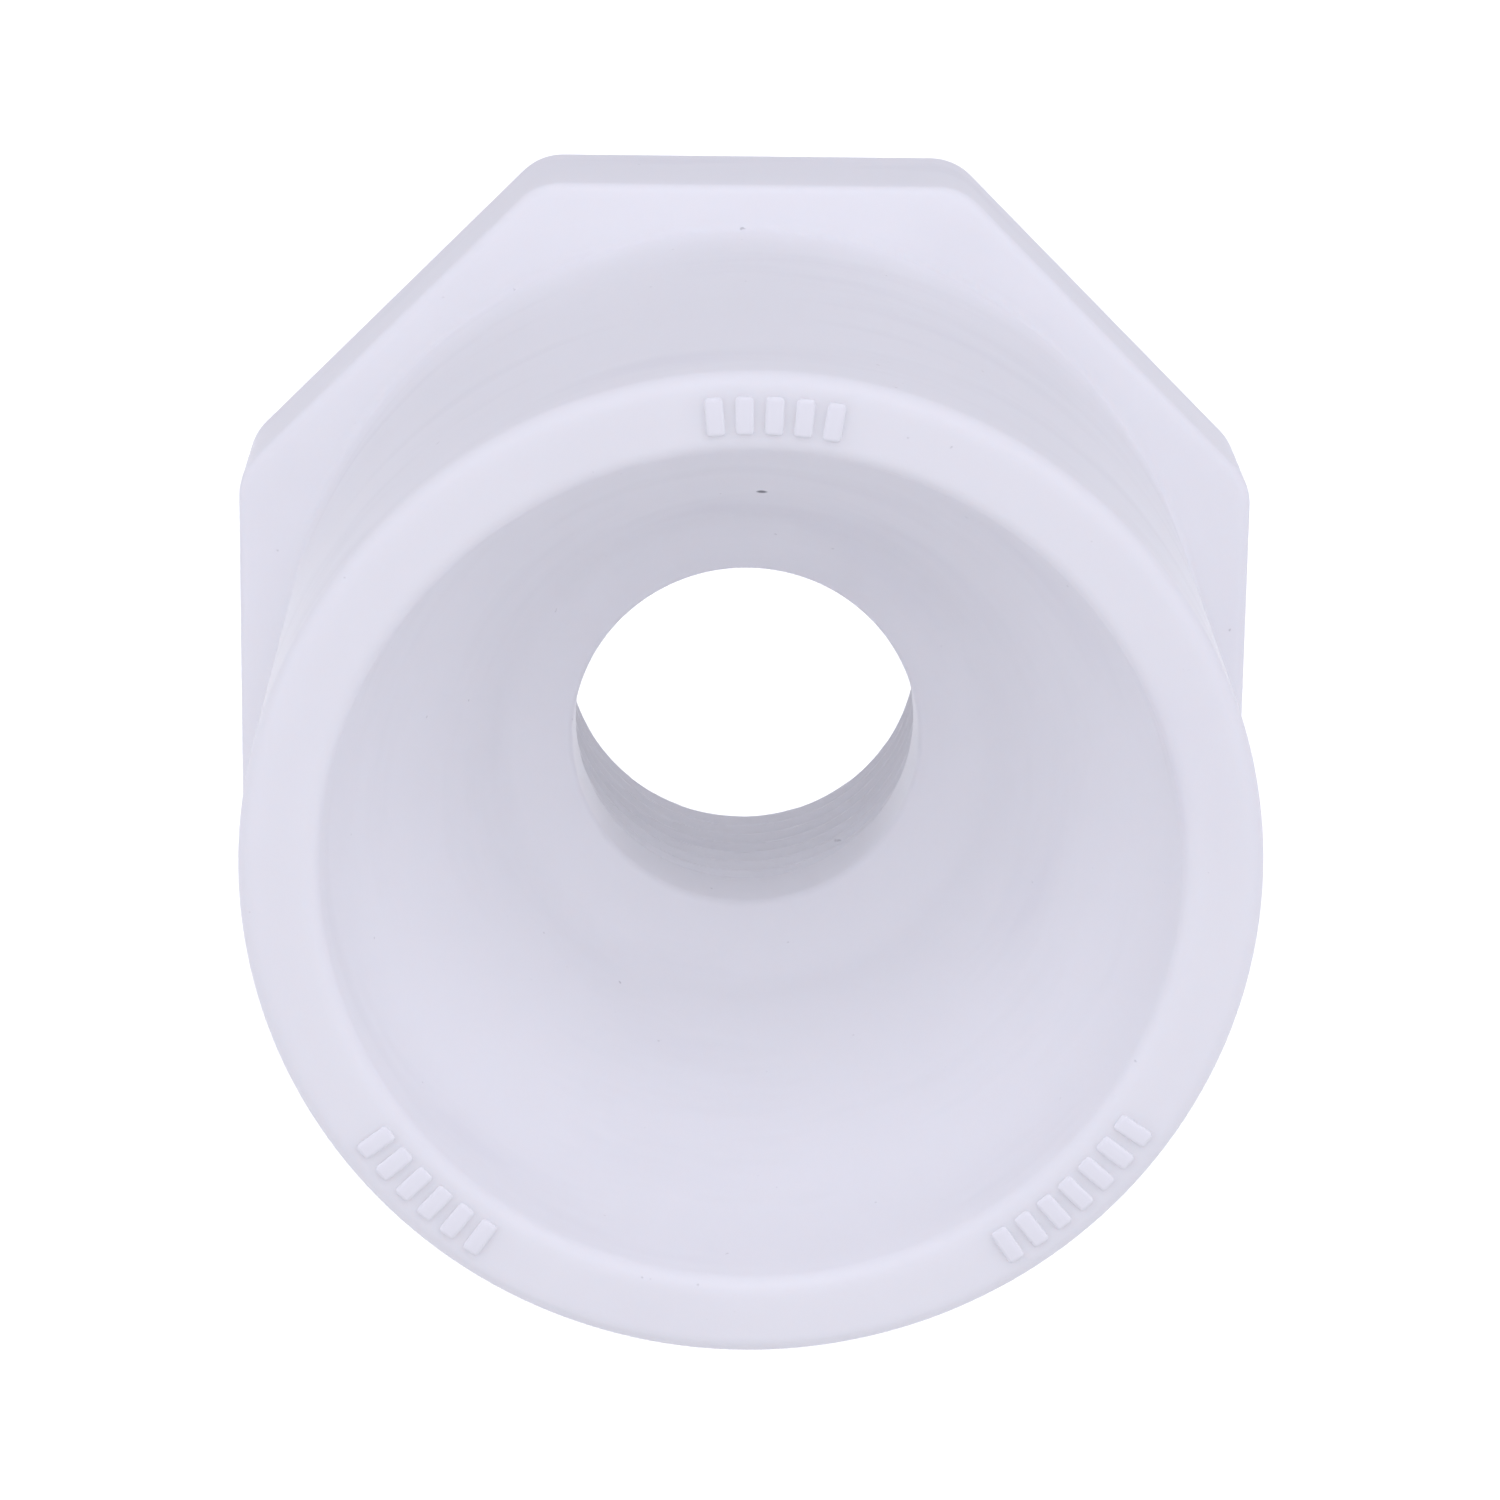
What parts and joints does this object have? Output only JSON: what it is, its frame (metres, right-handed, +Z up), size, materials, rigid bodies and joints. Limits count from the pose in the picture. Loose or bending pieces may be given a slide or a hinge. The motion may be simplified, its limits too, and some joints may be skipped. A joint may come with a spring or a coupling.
{
  "type": "reducing bushing",
  "caption": "One-piece white plastic pipe bushing: a plain round spigot with an octagonal stop flange, and a funnel inside that narrows to a small threaded socket.",
  "frame": {"origin": "on the fitting's axis, in the plane of the stop face, where the spigot meets the flange", "axes": "-Y along the axis, out of the spigot's open end; +Y out of the threaded mouth; +Z up, square to the top flat of the flange; +X to the right when looking into the spigot"},
  "size_m": [0.053, 0.0435, 0.053],
  "materials": {
    "white_plastic": "semi-gloss moulded white rigid plastic"
  },
  "bodies": {
    "root": {"reducing_bushing": "white_plastic"}
  },
  "joints": []
}
